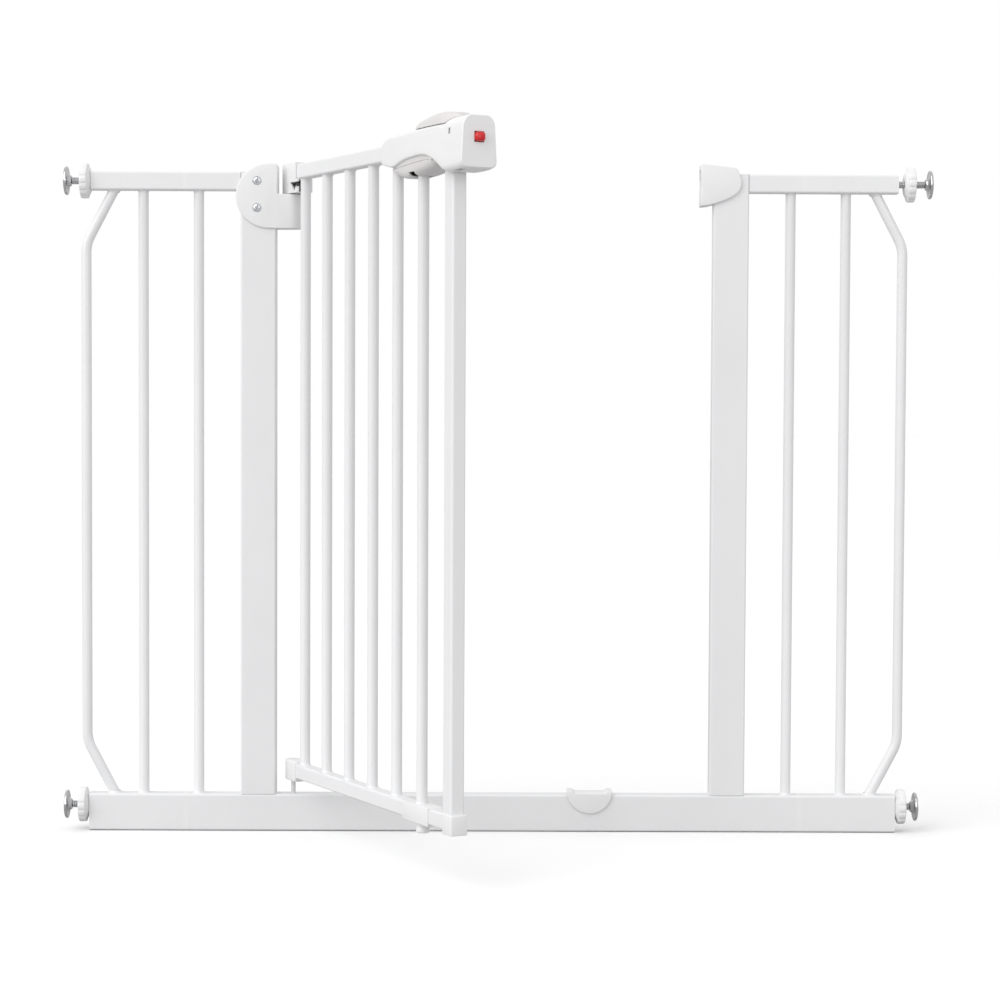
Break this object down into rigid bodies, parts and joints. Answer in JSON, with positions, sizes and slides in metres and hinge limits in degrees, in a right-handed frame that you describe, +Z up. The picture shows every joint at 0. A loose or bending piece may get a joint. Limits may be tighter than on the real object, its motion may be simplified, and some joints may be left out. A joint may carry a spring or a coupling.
{
  "type": "safety baby gate",
  "caption": "Pressure-mounted baby gate: barred steel door on a pin hinge with a squeeze-and-slide handle lock, side extensions and screw spindles with wall discs.",
  "frame": {"origin": "middle of the bottom rail's underside, where the gate rests on the floor", "axes": "+X along the doorway towards the latch side, +Y away from the side the door stands open to, +Z up"},
  "size_m": [0.941, 0.4144, 0.7425],
  "materials": {
    "white_paint": "smooth white powder coat, satin",
    "white_plastic": "moulded white plastic, fine satin",
    "grey_plastic": "moulded mid-grey plastic, satin",
    "red_plastic": "moulded red plastic",
    "polished_steel": "plated steel, polished disc and rolled thread",
    "zinc_screws": "bright zinc plate",
    "pin_steel": "plated steel pin",
    "spring_steel": "bright spring wire"
  },
  "bodies": {
    "frame": {"bottom_rail": "white_paint", "hinge_post": "white_paint", "latch_post": "white_paint", "stub_rail_left": "white_paint", "stub_rail_right": "white_paint", "inner_bar_left": "white_paint", "inner_bar_right": "white_paint", "ext_top_rail_left": "white_paint", "ext_top_rail_right": "white_paint", "ext_bottom_rail_left": "white_paint", "ext_bottom_rail_right": "white_paint", "ext_bar_left": "white_paint", "ext_bar_right": "white_paint", "bent_bar_left": "white_paint", "bent_bar_right": "white_paint", "joiner_plugs_left": "white_plastic", "joiner_plugs_right": "white_plastic", "end_plugs_left": "white_plastic", "end_plugs_right": "white_plastic", "hinge_cover_front": "white_plastic", "hinge_cover_rear": "white_plastic", "hinge_screws": "zinc_screws", "upper_hinge_pin": "pin_steel", "lower_hinge_pin": "pin_steel", "striker": "white_plastic", "striker_screws": "zinc_screws", "saddle_stop": "white_plastic"},
    "gate": {"door_top_rail": "white_paint", "door_bottom_rail": "white_paint", "door_bar_1": "white_paint", "door_bar_2": "white_paint", "door_bar_3": "white_paint", "door_bar_4": "white_paint", "door_bar_5": "white_paint", "door_bar_6": "white_paint", "door_end_upright": "white_paint", "upper_hinge_cap": "white_plastic", "torsion_spring": "spring_steel", "lower_hinge_cap": "white_plastic", "bottom_end_cap": "white_plastic", "foot_sleeve": "white_plastic", "handle_shell": "white_plastic", "handle_back_cover": "white_plastic", "handle_screws": "zinc_screws", "lever_pin": "pin_steel", "bolt_spring": "spring_steel", "foot_spring": "spring_steel"},
    "thumb_slide": {"thumb_slide": "grey_plastic"},
    "squeeze_lever": {"squeeze_lever": "grey_plastic"},
    "latch_bolt": {"latch_bolt": "red_plastic"},
    "stop_foot": {"stop_foot": "white_plastic"},
    "nut_top_left": {"knob_nut_top_left": "white_plastic"},
    "spindle_top_left": {"spindle_top_left": "polished_steel"},
    "nut_top_right": {"knob_nut_top_right": "white_plastic"},
    "spindle_top_right": {"spindle_top_right": "polished_steel"},
    "nut_bottom_left": {"knob_nut_bottom_left": "white_plastic"},
    "spindle_bottom_left": {"spindle_bottom_left": "polished_steel"},
    "nut_bottom_right": {"knob_nut_bottom_right": "white_plastic"},
    "spindle_bottom_right": {"spindle_bottom_right": "polished_steel"}
  },
  "joints": [
    {"name": "gate_swing", "type": "hinge", "parent": "frame", "child": "gate", "pos_m": [-0.218, 0, 0.4], "axis": [0, 0, 1], "range_deg": [-27.5, 152.5]},
    {"name": "thumb_slide_travel", "type": "slide", "parent": "gate", "child": "thumb_slide", "axis": [-0.4617, 0.887, 0], "range_m": [0, 0.008], "stiffness_N_per_m": 250, "springref_m": -0.002},
    {"name": "lever_squeeze", "type": "hinge", "parent": "gate", "child": "squeeze_lever", "pos_m": [-0.04715, -0.32819, 0.7], "axis": [0.887, 0.4617, 0], "range_deg": [0, 5], "stiffness_Nm_per_rad": 1.5, "springref_deg": -1.72},
    {"name": "bolt_travel", "type": "slide", "parent": "gate", "child": "latch_bolt", "axis": [-0.4617, 0.887, 0], "range_m": [0, 0.006]},
    {"name": "foot_plunge", "type": "slide", "parent": "gate", "child": "stop_foot", "axis": [0, 0, 1], "range_m": [0, 0.0045], "stiffness_N_per_m": 300, "springref_m": -0.002, "deforming": ["foot_spring"]},
    {"name": "nut_top_left_turn", "type": "hinge", "parent": "frame", "child": "nut_top_left", "pos_m": [-0.4434, 0, 0.706], "axis": [-1, 0, 0], "range_deg": [-1081, 3602]},
    {"name": "spindle_top_left_travel", "type": "slide", "parent": "frame", "child": "spindle_top_left", "axis": [-1, 0, 0], "range_m": [-0.006, 0.02]},
    {"name": "nut_top_right_turn", "type": "hinge", "parent": "frame", "child": "nut_top_right", "pos_m": [0.45, 0, 0.706], "axis": [1, 0, 0], "range_deg": [-1081, 3602]},
    {"name": "spindle_top_right_travel", "type": "slide", "parent": "frame", "child": "spindle_top_right", "axis": [1, 0, 0], "range_m": [-0.006, 0.02]},
    {"name": "nut_bottom_left_turn", "type": "hinge", "parent": "frame", "child": "nut_bottom_left", "pos_m": [-0.4464, 0, 0.027], "axis": [-1, 0, 0], "range_deg": [-1081, 3602]},
    {"name": "spindle_bottom_left_travel", "type": "slide", "parent": "frame", "child": "spindle_bottom_left", "axis": [-1, 0, 0], "range_m": [-0.006, 0.02]},
    {"name": "nut_bottom_right_turn", "type": "hinge", "parent": "frame", "child": "nut_bottom_right", "pos_m": [0.4464, 0, 0.027], "axis": [1, 0, 0], "range_deg": [-1081, 3602]},
    {"name": "spindle_bottom_right_travel", "type": "slide", "parent": "frame", "child": "spindle_bottom_right", "axis": [1, 0, 0], "range_m": [-0.006, 0.02]}
  ],
  "couplings": [
    {"joint": "bolt_travel", "follows": "lever_squeeze", "m_per_rad": 0.0687},
    {"joint": "nut_top_left_turn", "follows": "spindle_top_left_travel", "rad_per_m": 3141.6},
    {"joint": "nut_top_right_turn", "follows": "spindle_top_right_travel", "rad_per_m": 3141.6},
    {"joint": "nut_bottom_left_turn", "follows": "spindle_bottom_left_travel", "rad_per_m": 3141.6},
    {"joint": "nut_bottom_right_turn", "follows": "spindle_bottom_right_travel", "rad_per_m": 3141.6}
  ]
}
